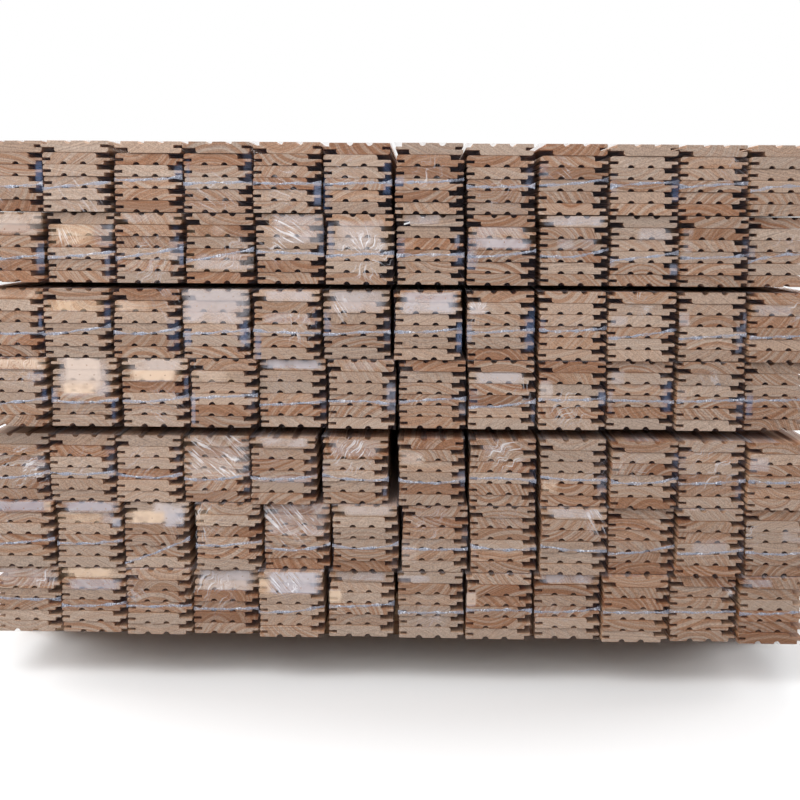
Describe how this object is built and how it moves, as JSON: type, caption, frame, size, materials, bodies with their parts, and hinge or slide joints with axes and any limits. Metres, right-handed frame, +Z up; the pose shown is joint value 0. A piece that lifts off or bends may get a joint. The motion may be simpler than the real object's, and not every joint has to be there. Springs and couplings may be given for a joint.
{
  "type": "stack of lumber",
  "caption": "Stack of shrink-wrapped packs of tongue-and-groove boards, in tiers with thin spacer laths, on ground bearers.",
  "frame": {"origin": "middle of the underside of the middle ground bearer, on the ground", "axes": "+X across the board ends to the right, +Y along the boards from the front ends to the back ends, +Z up"},
  "size_m": [1.5556, 3.053, 0.985],
  "materials": {
    "board_wood": "planed softwood, sawn ends",
    "shrink_film": "clear shrink film, glossy",
    "lath_wood": "rough sawn",
    "bearer_wood": "rough sawn"
  },
  "bodies": {
    "root": {"tier_1_boards": "board_wood", "tier_2_boards": "board_wood", "tier_3_boards": "board_wood", "tier_4_boards": "board_wood", "tier_5_boards": "board_wood", "tier_6_boards": "board_wood", "tier_7_boards": "board_wood", "tier_1_film": "shrink_film", "tier_2_film": "shrink_film", "tier_3_film": "shrink_film", "tier_4_film": "shrink_film", "tier_5_film": "shrink_film", "tier_6_film": "shrink_film", "tier_7_film": "shrink_film", "lower_stickers": "lath_wood", "upper_stickers": "lath_wood", "ground_bearers": "bearer_wood"}
  },
  "joints": []
}
